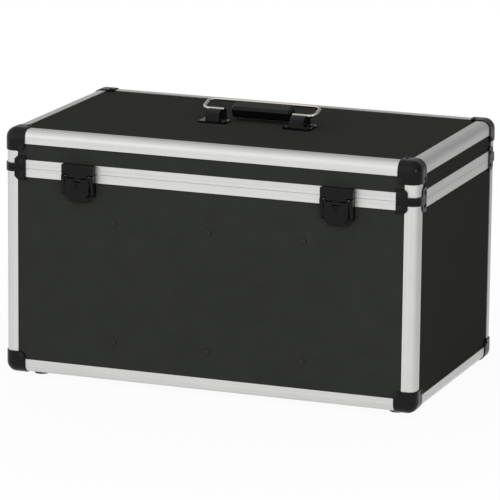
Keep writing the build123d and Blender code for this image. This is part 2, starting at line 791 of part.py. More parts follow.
for side_name, x in (("left", -latch_x), ("right", latch_x)):
    section = latch_section(x)
    lock_out = latch_face - lock_sink
    lock_face = latch_outline(x, lock_out, lock_drop)
    own_latch_rivets = [plane for plane in latch_rivets if abs(plane.origin.X - x) < latch_width]
    own_catch_rivets = [plane for plane in catch_rivets if abs(plane.origin.X - x) < latch_width]
    base_outline = shield(latch_outline(x, -wall), -latch_top_gap, latch_shoulder, latch_drop,
                          latch_width, latch_foot_width)
    lever_outline = shield(latch_outline(x, lever_inner_face), -hook_pivot_drop, lever_shoulder,
                           lever_bottom, lever_width, lever_foot_width)

    with BuildPart() as latch_base:
        extrude(base_outline, amount=wall + latch_plate)
        latch_block(spread(x, latch_width), (-wall, seat_gap), (-rim_height - seat_gap, 0),
                    mode=Mode.SUBTRACT)
        for cheek in either_side(x, latch_width / 2 - cheek_width, latch_width / 2):
            with BuildSketch(section.offset(x - cheek[0])):
                with BuildLine():
                    Polyline((seat_gap, -latch_top_gap), (lever_pivot_out, -latch_top_gap),
                             (latch_face, -lever_pivot_drop), (latch_face, -hook_pivot_drop),
                             (cheek_foot_out, -latch_shoulder), (latch_plate, -cheek_foot),
                             (seat_gap, -cheek_foot), close=True)
                make_face()
            extrude(amount=-cheek_width)
            latch_rod(cheek, lever_pivot, lever_pin_radius, mode=Mode.SUBTRACT)
        post = (x + cam_length + keeper_tip_gap, x + cam_length + keeper_tip_gap + keeper_post)
        keeper_up = spread(-lock_drop, keeper_height / 2)
        latch_block((x + keeper_start, post[1]), (keeper_low, keeper_top), keeper_up)
        latch_block(post, (latch_plate, keeper_low), keeper_up)
        drill(own_latch_rivets, rivet_shank)
    write(latch_base.part, f"latch_base_{side_name}")

    with BuildPart() as latch_lever:
        extrude(lever_outline, amount=lever_thickness)
        fillet(latch_lever.faces().sort_by(Axis.Y)[0].edges().sort_by(Axis.Z)[:-1], lever_edge_round)
        for knuckle in either_side(x, knuckle_half + side_gap, lever_half):
            latch_rod(knuckle, hook_pivot, knuckle_radius)
        for ear in either_side(x, ear_inner, lever_half):
            with BuildSketch(section.offset(x - ear[0])) as hull:
                with Locations(lever_pivot):
                    Circle(ear_radius)
                with Locations(hook_pivot):
                    Circle(knuckle_radius)
                make_hull(hull.edges())
            extrude(amount=ear[0] - ear[1])
            latch_rod(ear, lever_pivot, lever_pin_radius + running_gap, mode=Mode.SUBTRACT)
        latch_rod(spread(x, lever_half), hook_pivot, hook_pin_radius, mode=Mode.SUBTRACT)
        latch_block(spread(x, knuckle_half + side_gap), (0, latch_face),
                    (-hook_pivot_drop - knuckle_radius - side_gap, 0), mode=Mode.SUBTRACT)
        with Locations(lock_face):
            Hole(lock_radius + running_gap, latch_face)
    write(latch_lever.part, f"latch_lever_{side_name}")

    with BuildPart() as hook_pin:
        latch_rod(spread(x, lever_half - pin_inset), hook_pivot, hook_pin_radius)
    write(hook_pin.part, f"hook_pin_{side_name}")

    with BuildPart() as latch_hook:
        latch_block(spread(x, latch_width / 2), (hook_back, latch_face), (hook_waist, hook_top))
        fillet(latch_hook.edges().filter_by(Axis.Y).group_by(Axis.Z)[-1], hook_corner)
        latch_block(spread(x, hook_narrow_half), (hook_back, latch_face), (-hook_bottom, hook_waist))
        front_edges = latch_hook.faces().sort_by(Axis.Y)[0].edges().filter_by(Axis.X).sort_by(Axis.Z)
        fillet([front_edges[0], front_edges[-1]], hook_edge_round)
        latch_block(spread(x, hook_cavity_half), (0, cavity_out),
                    (hook_floor - hook_bottom, hook_top - hook_lip), mode=Mode.SUBTRACT)
        latch_block(spread(x, knuckle_half), spread(hook_pivot_out, hook_neck / 2),
                    (-hook_pivot_drop, hook_floor - hook_bottom))
        latch_rod(spread(x, knuckle_half), hook_pivot, knuckle_radius)
        latch_rod(spread(x, knuckle_half), hook_pivot, hook_pin_radius + running_gap, mode=Mode.SUBTRACT)
    write(latch_hook.part, f"latch_hook_{side_name}")

    with BuildPart() as latch_catch:
        latch_block(spread(x, latch_width / 2 - catch_side_inset), (seat_gap, catch_plate),
                    (catch_base, catch_rise))
        ledge_top = hook_top - hook_lip - catch_clearance
        latch_block(spread(x, catch_ledge_width / 2), (seat_gap, cavity_out - catch_ledge_gap),
                    (ledge_top - catch_ledge_height, ledge_top))
        drill(own_catch_rivets, rivet_shank)
    write(latch_catch.part, f"latch_catch_{side_name}")

    with BuildPart() as lock_core:
        with BuildSketch(lock_face):
            Circle(lock_radius)
        extrude(amount=cam_top - lock_out)
        with BuildSketch(latch_outline(x, cam_low)):
            with Locations((0, -lock_drop - (cam_length - cam_width / 2) / 2)):
                SlotOverall(cam_length + cam_width / 2, cam_width, rotation=90)
        extrude(amount=cam_thickness)
        with BuildSketch(lock_face):
            Rectangle(key_slot_width, key_slot_length)
        extrude(amount=-key_slot_depth, mode=Mode.SUBTRACT)
    write(lock_core.part, f"lock_core_{side_name}")

with BuildPart() as lever_pins:
    for x in (-latch_x, latch_x):
        for stub in either_side(x, ear_inner + pin_inset, latch_width / 2 - pin_inset):
            latch_rod(stub, lever_pivot, lever_pin_radius)
lever_pins.part.label = "lever_pins"
export_step(lever_pins.part, "parts/lever_pins.step")


# Hinges: body and lid knuckles by turns on one pin

hinge_axis_out = latch_face - hinge_knuckle_radius
hinge_axis_y = half_depth + hinge_axis_out
hinge_pitch = hinge_width / hinge_knuckles


def hinge_leaves(up, first, bore_radius):
    """The leaves on one side of the lid joint, with every second knuckle from the first."""
    leaf_start = hinge_knuckle_radius + hinge_turn_gap
    with BuildPart() as leaves:
        for centre in (-hinge_x, hinge_x):
            leaf_x = spread(centre, hinge_width / 2)
            block(leaf_x, (half_depth + seat_gap, half_depth + hinge_leaf),
                  tuple(sorted((split_z + up * leaf_start, split_z + up * hinge_leaf_height))))
            block(leaf_x, (half_depth - wall, half_depth + hinge_leaf),
                  tuple(sorted((split_z + up * (rim_height + seat_gap), split_z + up * hinge_leaf_height))))
            for index in range(first, hinge_knuckles, 2):
                start = leaf_x[0] + index * hinge_pitch + side_gap / 2
                with BuildSketch(section_plane((start, half_depth, split_z), (0, 1, 0), (0, 0, up))):
                    with BuildLine():
                        Polyline((seat_gap, side_gap), (hinge_axis_out, side_gap),
                                 (hinge_axis_out, hinge_knuckle_radius), (hinge_leaf, leaf_start),
                                 (seat_gap, leaf_start), close=True)
                    make_face()
                    with Locations((hinge_axis_out, 0)):
                        Circle(hinge_knuckle_radius)
                extrude(amount=up * (hinge_pitch - side_gap))
            rod(leaf_x, hinge_axis_y, split_z, bore_radius, mode=Mode.SUBTRACT)
    return leaves.part


for name, up, first, gap, planes in (("hinge_body_leaves", -1, 0, 0.0, hinge_body_rivets),
                                     ("hinge_lid_leaves", 1, 1, running_gap, hinge_lid_rivets)):
    with BuildPart() as leaves:
        add(hinge_leaves(up, first, hinge_pin_radius + gap))
        drill(planes, rivet_shank)
    write(leaves.part, name)

with BuildPart() as hinge_pins:
    for centre in (-hinge_x, hinge_x):
        rod(spread(centre, (hinge_width - side_gap) / 2), hinge_axis_y, split_z, hinge_pin_radius)
hinge_pins.part.label = "hinge_pins"
export_step(hinge_pins.part, "parts/hinge_pins.step")


# Handle: a wire bail that lies in a groove across two brackets, folded to the back, with a moulded grip

pivot_height = hump_crown_height - pivot_drop
hump_inner = bracket_step_x + hump_edge
grip_width = bail_depth + grip_rim - grip_start
grip_middle = (grip_start + grip_width / 2, grip_above_wire - grip_thickness / 2)
low_corner_out = grip_start + grip_corner
low_corner_up = grip_above_wire - grip_thickness + grip_corner
low_corner_rise = grip_floor_gap + grip_corner - pivot_height
bail_tilt = degrees(asin(low_corner_rise / hypot(low_corner_out, low_corner_up))
                    - atan2(low_corner_up, low_corner_out))
bail_bend = bail_half_width - hump_outer - bail_bend_gap
bail_leg_end = hump_inner - bail_leg_overlap
grip_length = 2 * (bracket_step_x - grip_end_gap)
bail_origin = (handle_x, pivot_y, lid_board_top + pivot_height)
bail_along = tuple(Vector(0, 1, 0).rotate(Axis.X, bail_tilt))
bail_up = tuple(Vector(0, 0, 1).rotate(Axis.X, bail_tilt))
bail_plane = section_plane(bail_origin, (1, 0, 0), bail_along)
grip_plane = section_plane(bail_origin, bail_along, bail_up)

for side_name, side in (("left", -1), ("right", 1)):
    with BuildPart() as bracket:
        board = Plane.XY.offset(lid_board_top)
        with BuildSketch(board) as foot:
            with BuildLine():
                Polyline(*[(handle_x + side * x, y) for x, y in
                           ((bracket_inner, -bracket_front), (bracket_outer, -bracket_front),
                            (bracket_outer, bracket_back), (bracket_step_x, bracket_back),
                            (bracket_step_x, bracket_step_y), (bracket_inner, bracket_step_y))], close=True)
            make_face()
            fillet(foot.vertices(), bracket_corner)
        extrude(amount=bracket_foot)
        middle = handle_x + side * (hump_inner + hump_outer) / 2
        foot_level, pivot_level = (middle, 0, lid_board_top), (middle, *bail_origin[1:])
        with BuildSketch(section_plane(foot_level, (0, 1, 0), (0, 0, 1))) as hump:
            with BuildLine():
                Polyline((-hump_front_foot, 0), (-hump_front_top, hump_front_height),
                         (-hump_crown_front, hump_crown_height), (hump_crown_back, hump_crown_height),
                         (hump_back_top, hump_back_height), (hump_back_foot, 0), close=True)
            make_face()
            fillet(hump.vertices().sort_by(Axis.Z)[2:], hump_round)
        extrude(amount=(hump_outer - hump_inner) / 2, both=True)
        with BuildSketch(section_plane(pivot_level, (0, 1, 0), (0, 0, 1))):
            Circle(wire_radius + running_gap)
        extrude(amount=hump_outer, both=True, mode=Mode.SUBTRACT)
        drill([plane for plane in bracket_screws if side * (plane.origin.X - handle_x) > 0], screw_shank)
    write(bracket.part, f"handle_bracket_{side_name}")

with BuildPart() as handle_bail:
    with BuildLine(bail_plane) as wire_line:
        FilletPolyline((-bail_leg_end, 0), (-bail_half_width, 0), (-bail_half_width, bail_depth),
                       (bail_half_width, bail_depth), (bail_half_width, 0), (bail_leg_end, 0),
                       radius=bail_bend)
    with BuildSketch(Plane(origin=wire_line.line @ 0, z_dir=wire_line.line % 0)):
        Circle(wire_radius)
    sweep(path=wire_line.line)
handle_bail.part.label = "handle_bail"
export_step(handle_bail.part, "parts/handle_bail.step")

with BuildPart() as handle_grip:
    with BuildSketch(grip_plane):
        with Locations(grip_middle):
            RectangleRounded(grip_width, grip_thickness, grip_corner)
    extrude(amount=grip_length / 2, both=True)
    ends = handle_grip.faces().sort_by(Axis.X)
    fillet(ends[0].edges() + ends[-1].edges(), grip_round)
    with BuildSketch(grip_plane):
        with Locations((bail_depth, 0)):
            Circle(wire_radius)
    extrude(amount=grip_length / 2, both=True, mode=Mode.SUBTRACT)
handle_grip.part.label = "handle_grip"
export_step(handle_grip.part, "parts/handle_grip.step")
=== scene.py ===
import json
import math

import bpy
from bpy.props import FloatProperty, FloatVectorProperty, PointerProperty
from mathutils import Matrix, Vector, noise

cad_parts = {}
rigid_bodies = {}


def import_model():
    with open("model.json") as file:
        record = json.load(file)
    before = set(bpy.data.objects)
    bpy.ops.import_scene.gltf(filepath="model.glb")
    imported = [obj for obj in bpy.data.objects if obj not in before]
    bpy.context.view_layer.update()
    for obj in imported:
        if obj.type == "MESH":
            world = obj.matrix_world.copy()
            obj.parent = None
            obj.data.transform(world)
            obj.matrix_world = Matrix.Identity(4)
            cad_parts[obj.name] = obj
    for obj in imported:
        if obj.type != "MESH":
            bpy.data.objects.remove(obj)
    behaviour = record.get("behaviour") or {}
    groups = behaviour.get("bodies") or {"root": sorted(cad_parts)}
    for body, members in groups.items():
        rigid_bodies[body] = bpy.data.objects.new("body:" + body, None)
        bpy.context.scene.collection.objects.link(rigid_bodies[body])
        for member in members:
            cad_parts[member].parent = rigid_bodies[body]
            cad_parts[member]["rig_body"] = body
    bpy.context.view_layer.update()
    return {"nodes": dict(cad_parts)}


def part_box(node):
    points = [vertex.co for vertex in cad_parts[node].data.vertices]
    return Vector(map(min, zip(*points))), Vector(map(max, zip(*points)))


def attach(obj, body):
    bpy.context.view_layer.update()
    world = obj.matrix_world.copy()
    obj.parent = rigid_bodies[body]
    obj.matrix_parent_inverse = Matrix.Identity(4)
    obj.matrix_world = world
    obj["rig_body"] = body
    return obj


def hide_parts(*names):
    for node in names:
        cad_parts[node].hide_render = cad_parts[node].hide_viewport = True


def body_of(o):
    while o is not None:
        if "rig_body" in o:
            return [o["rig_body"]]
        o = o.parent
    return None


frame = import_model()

bl_info = {
    "name": "Lighting Flight Case",
    "version": (1, 0, 0),
    "blender": (4, 5, 0),
    "location": "3D View > Sidebar > Flight Case",
    "description": "Finishes, pads and fittings of a lighting flight case around its CAD frame",
    "category": "Object",
}

MM = 0.001

# Merging and easing the copies of CAD nodes
WELD = 0.002 * MM
FLAT = math.radians(0.4)
SHARP = math.radians(32.0)
MITRED = ("bottom_edges", "lid_top_edges")
MITRE_DEPTH = 0.1 * MM

# Foam pads: waves a metre of their unevenness, its shift from pad to pad, and the powers of a place between
# middle and edge at which a face falls and a side is drawn in
FACE_WAVES = 22.0
SIDE_WAVES = 30.0
NEXT_PAD = 7.0
FACE_FALL = 6
SIDE_PULL = 9

# Finishes: width of the rings' bars, thickness of a veneer, and the range that most of a noise lies in
BAR_WIDTH = 17.5 * MM
VENEER = 1.22 * MM
MIDDLE = (0.3, 0.7)
WHOLE = (0.0, 1.0)

# Colour sockets of a Mix node
MIX_FIRST, MIX_SECOND, MIX_RESULT = 6, 7, 2

# Stage: frame and shift in pixels, sensor in millimetres, camera's near and far limits in metres, and the
# side towards which the surroundings darken
PHOTO_PIXELS = 500
FRAME_SHIFT = (-1.61, -6.13)
SENSOR = 36.0
CAMERA_REACH = (0.1, 50.0)
LAMP_AIM = Vector((0.0, 0.0, 0.15))
FLOOR_SIZE = 24.0
PAPER = (0.80, 0.80, 0.80, 1.0)
WHITE = (1.0, 1.0, 1.0, 1.0)
SHADE_SIDE = (0.5, 0.85, 0.0)


class Field:
    """A socket of a shader node. Arithmetic on it adds Math nodes."""

    def __init__(self, finish, socket):
        self.finish = finish
        self.socket = socket

    def math(self, operation, *values):
        return self.finish.node("ShaderNodeMath", {"operation": operation}, dict(enumerate(values)))

    def __add__(self, other):
        return self.math("ADD", self, other)

    def __sub__(self, other):
        return self.math("SUBTRACT", self, other)

    def __rsub__(self, other):
        return self.math("SUBTRACT", other, self)

    def __mul__(self, other):
        return self.math("MULTIPLY", self, other)

    def __gt__(self, other):
        return self.math("GREATER_THAN", self, other)

    def __abs__(self):
        return self.math("ABSOLUTE", self)

    def __mod__(self, other):
        return self.math("FLOORED_MODULO", self, other)

    __radd__ = __add__
    __rmul__ = __mul__


class Finish:
    """A node tree under construction."""

    def __init__(self, tree):
        self.tree = tree

    def node(self, kind, settings=None, sockets=None, output=0):
        """Adds a node, sets it, fills or links its sockets and gives back one of its outputs."""
        node = self.tree.nodes.new(kind)
        for key, value in (settings or {}).items():
            setattr(node, key, value)
        for key, value in (sockets or {}).items():
            self.fill(node.inputs[key], value)
        return Field(self, node.outputs[output])

    def fill(self, socket, value):
        """Links a field to a socket, or writes a plain value into it."""
        if isinstance(value, Field):
            self.tree.links.new(value.socket, socket)
        else:
            socket.default_value = value

    def spread(self, field, source, target):
        """Takes a field from one range to another, smoothly and clamped."""
        return self.node("ShaderNodeMapRange", {"interpolation_type": "SMOOTHSTEP"},
                         {"Value": field, "From Min": source[0], "From Max": source[1],
                          "To Min": target[0], "To Max": target[1]})

    def toward(self, place, direction):
        """How far a place lies in one direction."""
        return self.node("ShaderNodeVectorMath", {"operation": "DOT_PRODUCT"},
                         {0: place, 1: direction}, "Value")

    def light_paths(self):
        """Whether a ray comes from the camera, and whether it comes from a gloss or clear material."""
        sight, glossy, through = (self.node("ShaderNodeLightPath", output=kind)
                                  for kind in ("Is Camera Ray", "Is Glossy Ray", "Is Transmission Ray"))
        return sight, glossy + through


class Surface(Finish):
    """A Principled material. Its keywords are the values that are the same all over."""

    def __init__(self, name, **constants):
        self.material = bpy.data.materials.new(name)
        self.material.use_nodes = True
        super().__init__(self.material.node_tree)
        self.shader = self.tree.nodes["Principled BSDF"]
        for key, value in constants.items():
            self.shader.inputs[key.replace("_", " ")].default_value = value
        self.place = self.node("ShaderNodeTexCoord", output="Object")

    def axis(self, name):
        """One coordinate of the place on the surface, in metres."""
        return self.node("ShaderNodeSeparateXYZ", sockets={"Vector": self.place}, output=name)

    def noise(self, waves, detail, roughness=0.5):
        """Noise with so many waves a metre: one number for every axis, or one for each."""
        if isinstance(waves, float):
            waves = (waves, waves, waves)
        where = self.node("ShaderNodeVectorMath", {"operation": "MULTIPLY"}, {0: self.place, 1: waves})
        return self.node("ShaderNodeTexNoise", {"noise_dimensions": "3D"},
                         {"Vector": where, "Scale": 1.0, "Detail": detail, "Roughness": roughness})

    def tint(self, factor, first, second):
        """A colour between two colours."""
        return self.node("ShaderNodeMix", {"data_type": "RGBA"},
                         {"Factor": factor, MIX_FIRST: first, MIX_SECOND: second}, MIX_RESULT)

    def tones(self, factor, colour, dark, light):
        """A colour between a darker and a lighter tone of itself."""
        return self.tint(factor, shade(colour, dark), shade(colour, light))

    def relief(self, height, depth, strength):
        """A bump of a real depth in metres, into the shader's normal."""
        bump = self.node("ShaderNodeBump",
                         sockets={"Height": height, "Distance": depth, "Strength": strength})
        self.fill(self.shader.inputs["Normal"], bump)

    def link(self, **fields):
        """Feeds the shader's sockets from fields and gives back the material."""
        for key, value in fields.items():
            self.fill(self.shader.inputs[key.replace("_", " ")], value)
        return self.material


def shade(colour, factor):
    """The same colour, lighter or darker."""
    return (*(channel * factor for channel in colour), 1.0)


def shared(first, second, share):
    """Two fields added up: the first with its share, and the second with the rest."""
    return first * share + second * (1.0 - share)


def only(piece):
    """Selects one piece and makes it active."""
    bpy.ops.object.select_all(action="DESELECT")
    piece.select_set(True)
    bpy.context.view_layer.objects.active = piece


def modify(piece, kind, **settings):
    """Adds a modifier and applies it."""
    only(piece)
    modifier = piece.modifiers.new(kind.title(), kind)
    for key, value in settings.items():
        setattr(modifier, key, value)
    bpy.ops.object.modifier_apply(modifier=modifier.name)


def wear(piece, material):
    """Gives a piece one material."""
    piece.data.materials.clear()
    piece.data.materials.append(material)


def stand_in(piece, node, material):
    """Puts a finished piece in the place of a CAD node."""
    piece.name = node + "_finished"
    wear(piece, material)
    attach(piece, body_of(frame["nodes"][node])[0])
    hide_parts(node)
    return piece


def side_bars(piece, node):
    """Splits off the bars that run front to back, which touch the others where they are mitred."""
    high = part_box(node)[1]
    for face in piece.data.polygons:
        inside = face.center - face.normal * MITRE_DEPTH
        face.select = abs(inside.x) - abs(inside.y) > high.x - high.y
        for vertex in face.vertices:
            piece.data.vertices[vertex].select = face.select
    bpy.ops.object.mode_set(mode="EDIT")
    bpy.ops.mesh.separate(type="SELECTED")
    bpy.ops.object.mode_set(mode="OBJECT")
    return next(run for run in bpy.context.selected_objects if run != piece)


def merge(run):
    """Makes whole faces of a CAD mesh's loose triangles."""
    only(run)
    bpy.ops.object.mode_set(mode="EDIT")
    bpy.ops.mesh.select_all(action="SELECT")
    bpy.ops.mesh.remove_doubles(threshold=WELD)
    bpy.ops.mesh.dissolve_limited(angle_limit=FLAT)
    bpy.ops.object.mode_set(mode="OBJECT")


def ease_edges(material, width, *nodes):
    """Puts in the place of CAD nodes copies of them, with their edges eased by a small round."""
    for node in nodes:
        piece = bpy.data.objects.new(node, frame["nodes"][node].data.copy())
        bpy.context.collection.objects.link(piece)
        only(piece)
        if piece.data.has_custom_normals:
            bpy.ops.mesh.customdata_custom_splitnormals_clear()
        runs = [piece]
        if node in MITRED:
            runs.append(side_bars(piece, node))
        for run in runs:
            merge(run)
            modify(run, "BEVEL", width=width, segments=2, limit_method="ANGLE", angle_limit=SHARP)
        only(piece)
        for run in runs[1:]:
            run.select_set(True)
            bpy.ops.object.join()
        bpy.ops.object.shade_smooth_by_angle(angle=SHARP)
        modify(piece, "WEIGHTED_NORMAL", weight=100, keep_sharp=True)
        stand_in(piece, node, material)


def keep(material, *nodes):
    """CAD nodes that stay as they are, in a better finish."""
    for node in nodes:
        wear(frame["nodes"][node], material)


def named(*words, without=()):
    """The CAD nodes whose names start or end in one of these words."""
    return [name for name in frame["nodes"]
            if (name.startswith(words) or name.endswith(words)) and name not in without]


def laminate(name, colour):
    """Satin laminate with a fine pebble grain and a faint mottle."""
    board = Surface(name, Specular_IOR_Level=0.002)
    grain = board.noise(waves=1900.0, detail=3.0)
    mottle = board.noise(waves=38.0, detail=3.0)
    board.relief(grain, depth=0.12 * MM, strength=0.8)
    flecks = board.spread(shared(grain, mottle, share=0.82), MIDDLE, WHOLE)
    return board.link(Base_Color=board.tones(flecks, colour, dark=0.8, light=1.24),
                      Roughness=board.spread(mottle, MIDDLE, (0.55, 0.66)))


def drawn(metal, upright, fine, slow):
    """Noise with fine waves across a bar and slow ones along it, on upright bars or on a ring of bars."""
    if upright:
        return metal.noise((fine, fine, slow), detail=2.0)
    side_to_side = metal.noise((slow, fine, fine), detail=2.0)
    front_to_back = metal.noise((fine, slow, fine), detail=2.0)
    at_side = abs(metal.axis("X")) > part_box("bottom_edges")[1].x - BAR_WIDTH
    return side_to_side + (front_to_back - side_to_side) * at_side


def anodised(name, colour, upright):
    """Satin anodised aluminium with faint die lines and streaks along its bars."""
    metal = Surface(name, Metallic=1.0)
    lines = drawn(metal, upright, fine=2600.0, slow=6.0)
    streaks = drawn(metal, upright, fine=420.0, slow=1.5)
    cloud = metal.noise(waves=22.0, detail=3.0)
    metal.relief(lines, depth=0.012 * MM, strength=0.5)
    tone = metal.spread(shared(streaks, cloud, share=0.75), MIDDLE, WHOLE)
    satin = metal.spread(lines, (0.25, 0.75), (0.44, 0.54))
    return metal.link(Base_Color=metal.tones(tone, colour, dark=0.94, light=1.05),
                      Roughness=satin + (cloud - 0.5) * 0.06)


def moulded(name, colour, roughness, peel, gloss):
    """Moulded plastic or lacquer: a fine surface ripple and patches of slightly other gloss."""
    plastic = Surface(name, Specular_IOR_Level=gloss)
    ripple = plastic.noise(waves=700.0, detail=2.0)
    smear = plastic.noise(waves=90.0, detail=4.0)
    plastic.relief(ripple, depth=peel, strength=0.5)
    return plastic.link(Base_Color=plastic.tones(smear, colour, dark=0.85, light=1.15),
                        Roughness=plastic.spread(smear, (0.35, 0.65), (roughness - 0.05, roughness + 0.06)))


def plated(name, colour, roughness):
    """Bright plate or plain steel with hairline scratches."""
    metal = Surface(name, Metallic=1.0)
    hairs = metal.noise((90.0, 2400.0, 2400.0), detail=2.0)
    cloud = metal.noise(waves=160.0, detail=3.0)
    metal.relief(hairs, depth=0.006 * MM, strength=0.4)
    return metal.link(Base_Color=metal.tones(cloud, colour, dark=0.92, light=1.04),
                      Roughness=metal.spread(cloud, MIDDLE, (roughness * 0.8, roughness * 1.3)))


def rubber(name, colour):
    """Matte moulded rubber."""
    sole = Surface(name, Specular_IOR_Level=0.3)
    grain = sole.noise(waves=1500.0, detail=3.0)
    dust = sole.noise(waves=60.0, detail=4.0)
    sole.relief(grain, depth=0.08 * MM, strength=0.7)
    return sole.link(Base_Color=sole.tones(dust, colour, dark=0.8, light=1.4),
                     Roughness=sole.spread(dust, MIDDLE, (0.74, 0.86)))


def open_foam(name, colour):
    """Foam with open cells, whose pits also carry painted shade."""
    foam = Surface(name, Specular_IOR_Level=0.15, Sheen_Weight=0.25, Sheen_Roughness=0.6)
    cells = foam.node("ShaderNodeTexVoronoi", {"feature": "F1"}, {"Vector": foam.place, "Scale": 620.0})
    rough = foam.noise(waves=240.0, detail=4.0)
    pore_pits_and_shade = foam.spread(cells, (0.1, 0.62), WHOLE)
    foam.relief(pore_pits_and_shade * 0.8 + rough * 0.5, depth=0.5 * MM, strength=0.9)
    # The pits of the cells are painted darker: painted shade in the pores, on top of their bumped depth.
    return foam.link(Base_Color=foam.tones(pore_pits_and_shade, colour, dark=0.35, light=1.25),
                     Roughness=foam.spread(rough, MIDDLE, (0.9, 0.98)))


def plywood(name, colour):
    """Birch plywood: upright grain on the faces and the veneers showing on the edges."""
    wood = Surface(name, Specular_IOR_Level=0.3)
    figure = wood.noise((30.0, 45.0, 4.0), detail=5.0, roughness=0.55)
    fibres = wood.noise((900.0, 900.0, 22.0), detail=3.0)
    from_seam = abs(wood.axis("X") % (2 * VENEER) - VENEER)
    veneer = wood.spread(from_seam, (0.5 * MM, 0.75 * MM), WHOLE)
    face = wood.tones(figure, colour, dark=0.78, light=1.08)
    body = wood.tint(fibres * 0.45, face, shade(colour, 0.62))
    wood.relief(fibres, depth=0.05 * MM, strength=0.5)
    return wood.link(Base_Color=wood.tint(veneer * 0.35, body, shade(colour, 0.5)),
                     Roughness=wood.spread(figure, MIDDLE, (0.55, 0.68)))


def colour_property(name, description, default):
    return FloatVectorProperty(name=name, description=description, default=default, size=3, min=0.0, max=1.0,
                               subtype="COLOR")


def length_property(name, description, default):
    return FloatProperty(name=name, description=description, default=default, min=0.0, precision=5,
                         subtype="DISTANCE", unit="LENGTH")


def angle_property(name, description, degrees):
    return FloatProperty(name=name, description=description, default=math.radians(degrees),
                         subtype="ANGLE", unit="ROTATION")


def power_property(name, description, default):
    return FloatProperty(name=name, description=description, default=default, min=0.0, unit="POWER")


def level_property(name, description, default):
    return FloatProperty(name=name, description=description, default=default, min=0.0, max=1.0,
                         subtype="FACTOR")


class FlightCaseFinishes(bpy.types.PropertyGroup):
    """Colours of the case."""

    board: colour_property("Board", "Laminate on the boards", (0.0366, 0.0390, 0.0350))
    aluminium: colour_property("Aluminium", "Anodised edge extrusions and rims", (0.615, 0.61, 0.605))
    corner: colour_property("Corners", "Moulded corners and their rivets", (0.0045, 0.0046, 0.0048))
    fitting: colour_property("Fittings", "Latches, hinges and screws", (0.0055, 0.0058, 0.0055))
    grip: colour_property("Grip", "Moulded grip and brackets", (0.0042, 0.0044, 0.0046))
    wire: colour_property("Wire", "Nickel plate on the bail", (0.50, 0.475, 0.44))
    steel: colour_property("Steel", "Plain pins", (0.55, 0.55, 0.55))
    foam: colour_property("Foam", "Foam pads", (0.055, 0.055, 0.06))
    wood: colour_property("Wood", "Divider boards", (0.58, 0.43, 0.28))
    rubber: colour_property("Rubber", "Feet", (0.022, 0.022, 0.022))


class FlightCaseSizes(bpy.types.PropertyGroup):
    """Small sizes of the finished pieces."""

    metal_ease: length_property("Metal Ease", "Round on extrusions, rims and hinges", 0.25 * MM)
    plastic_ease: length_property("Moulding Ease", "Round on split corners, latches and brackets", 0.3 * MM)
    pad_round: length_property("Pad Round", "Round on the edges of the foam pads", 1.6 * MM)
    pad_cell: length_property("Pad Cell", "Spacing of the points on the foam pads", 12.0 * MM)
    pad_sink: length_property("Pad Sink", "How far a pad's face falls to its edges", 1.1 * MM)
    pad_lump: length_property("Pad Lumps", "Unevenness of a pad's face", 0.7 * MM)
    pad_pull: length_property("Pad Pull", "How far a pad's sides are drawn in", 0.5 * MM)


class FlightCaseStage(bpy.types.PropertyGroup):
    """Camera and lights."""

    azimuth: angle_property("Azimuth", "Camera's turn to the right of the front", 20.58)
    elevation: angle_property("Elevation", "Camera's height above the horizon", 12.96)
    roll: angle_property("Roll", "Camera's turn about its own axis", 0.6)
    distance: length_property("Distance", "Camera to the middle of the case", 4.8729)
    aim_height: length_property("Aim Height", "Height that the camera looks at", 0.160)
    focal_pixels: FloatProperty(name="Focal Length", description="Focal length in pixels of the frame",
                                default=3941.1, min=100.0, subtype="PIXEL")
    key_power: power_property("Key", "Power of the key light", 28.0)
    fill_power: power_property("Fill", "Power of the fill light", 8.0)
    world_level: level_property("World", "Strength of the surrounding light", 0.75)
    shade_level: level_property("Shade Side", "How bright the surroundings stay behind on the right", 0.43)


class FLIGHTCASE_OT_boards(bpy.types.Operator):
    """Faces the boards of the body and the lid"""

    bl_idname = "flightcase.boards"
    bl_label = "Boards"

    def execute(self, context):
        colours = context.scene.flight_case_finishes
        keep(laminate("board_laminate", colours.board), *named("_panel", "_strip"))
        return {"FINISHED"}


class FLIGHTCASE_OT_extrusions(bpy.types.Operator):
    """Eases and anodises the edge extrusions and the rims"""

    bl_idname = "flightcase.extrusions"
    bl_label = "Extrusions"

    def execute(self, context):
        colours = context.scene.flight_case_finishes
        sizes = context.scene.flight_case_sizes
        posts = anodised("anodised_posts", colours.aluminium, upright=True)
        bars = anodised("anodised_bars", colours.aluminium, upright=False)
        ease_edges(posts, sizes.metal_ease, "corner_posts", "lid_posts")
        ease_edges(bars, sizes.metal_ease, "bottom_edges", "lid_top_edges", "body_rim", "lid_rim")
        return {"FINISHED"}


class FLIGHTCASE_OT_corners(bpy.types.Operator):
    """Finishes the ball corners, the split corners and their rivets"""

    bl_idname = "flightcase.corners"
    bl_label = "Corners"

    def execute(self, context):
        colours = context.scene.flight_case_finishes
        sizes = context.scene.flight_case_sizes
        plastic = moulded("corner_moulding", colours.corner, roughness=0.2, peel=0.02 * MM, gloss=0.16)
        lacquer = moulded("rivet_lacquer", colours.corner, roughness=0.24, peel=0.01 * MM, gloss=0.18)
        keep(plastic, "bottom_corners", "lid_corners")
        ease_edges(plastic, sizes.plastic_ease, "body_split_corners", "lid_split_corners")
        keep(lacquer, "body_corner_rivets", "lid_corner_rivets")
        return {"FINISHED"}


